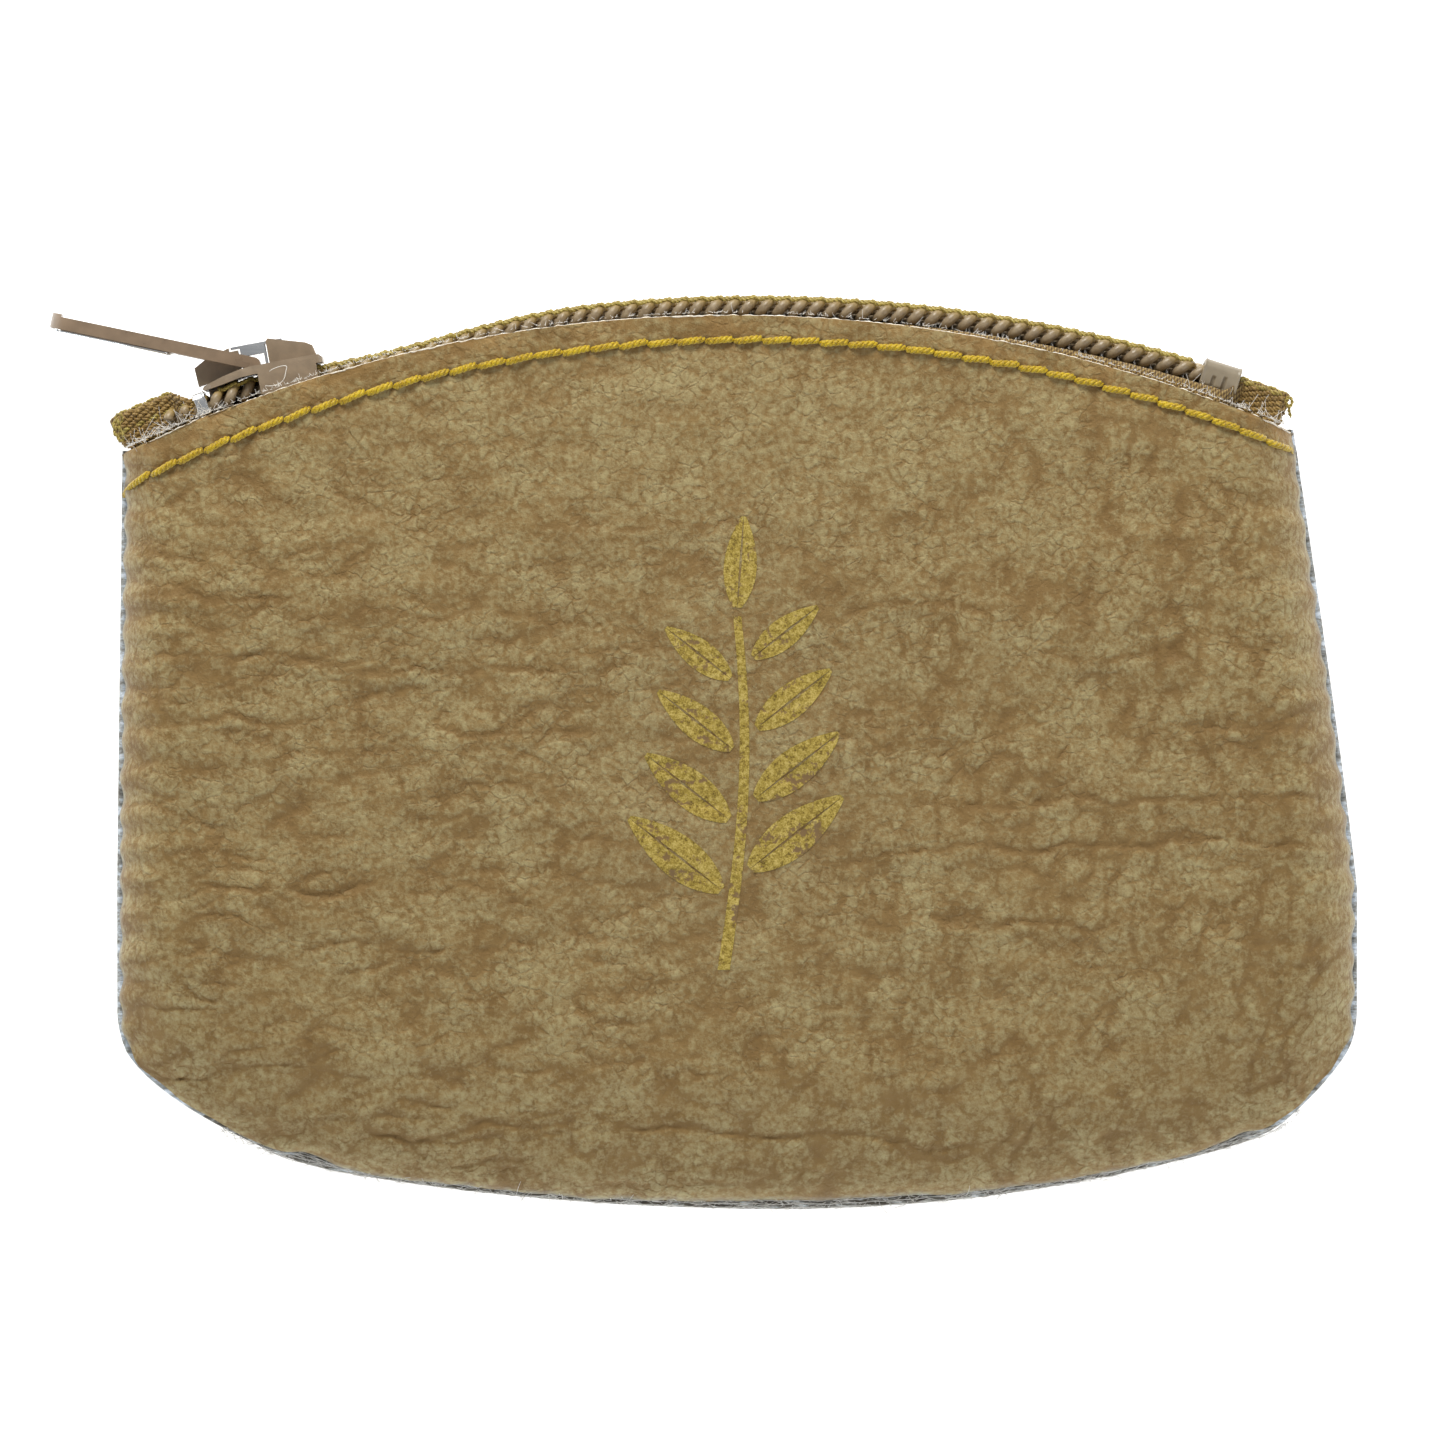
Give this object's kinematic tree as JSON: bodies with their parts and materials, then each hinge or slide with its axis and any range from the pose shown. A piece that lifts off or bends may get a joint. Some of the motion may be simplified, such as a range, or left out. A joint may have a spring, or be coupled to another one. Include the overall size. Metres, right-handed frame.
{
  "type": "zippered pouch",
  "caption": "Small leather coin pouch with an arched zip mouth, turned seams, contrast stitching, a coil zip with a locking slider and pull, and a gold foil leaf sprig on the front.",
  "frame": {"origin": "on the flat back face that the pouch lies on, midway between its widest places and 40 mm above its lowest point", "axes": "+X across the pouch, from the closed end of the zip towards the open end, +Y from the bottom seam towards the zip, +Z from the back to the front, through the thickness"},
  "size_m": [0.1161, 0.0811, 0.0137],
  "materials": {
    "leather": "soft grained tan sheepskin, semi-matt",
    "gold_foil": "matt gold foil, pressed into the grain",
    "tape": "woven polyester tape",
    "coil": "drawn polyester wire",
    "cord": "spun polyester cord",
    "coil_thread": "fine polyester thread",
    "bare_metal": "bright plated",
    "painted_stop": "satin beige paint, worn at the rims",
    "slider_paint": "satin brown-beige paint",
    "pull_paint": "satin brown-beige paint, bright metal beneath",
    "gold_thread": "two-ply gold-yellow sewing thread",
    "seam_thread": "tan sewing thread"
  },
  "bodies": {
    "root": {"front_panel": "leather", "back_panel": "leather", "foil_motif": "gold_foil", "front_zip_tape": "tape", "back_zip_tape": "tape", "front_coil": "coil", "back_coil": "coil", "front_core_cord": "cord", "back_core_cord": "cord", "front_coil_stitching": "coil_thread", "back_coil_stitching": "coil_thread", "front_top_stop": "bare_metal", "back_top_stop": "bare_metal", "bottom_stop": "painted_stop", "front_needle_thread": "gold_thread", "front_bobbin_thread": "gold_thread", "back_needle_thread": "gold_thread", "back_bobbin_thread": "gold_thread", "side_seam_needle_thread": "seam_thread", "side_seam_bobbin_thread": "seam_thread"},
    "slider": {"slider_body": "slider_paint"},
    "lock_spring": {"slider_lock_spring": "bare_metal"},
    "pull": {"pull_tab": "pull_paint"}
  },
  "joints": [
    {"name": "slider_travel", "type": "hinge", "parent": "root", "child": "slider", "pos_m": [0.0014, -0.0979, 0.0067], "axis": [0, 0, -1], "range_deg": [0, 32], "deforming": ["front_coil", "back_coil", "front_zip_tape", "back_zip_tape", "front_core_cord", "back_core_cord", "front_coil_stitching", "back_coil_stitching"]},
    {"name": "pull_swing", "type": "hinge", "parent": "slider", "child": "pull", "pos_m": [-0.04282, 0.03511, 0.0067], "axis": [0, 0, -1], "range_deg": [-16, 125]},
    {"name": "lock_spring_lift", "type": "hinge", "parent": "slider", "child": "lock_spring", "pos_m": [-0.04037, 0.03727, 0.0067], "axis": [0, 0, -1], "range_deg": [-0.6, 4]}
  ],
  "couplings": [
    {"joint": "lock_spring_lift", "follows": "pull_swing", "ratio": 0.03}
  ]
}
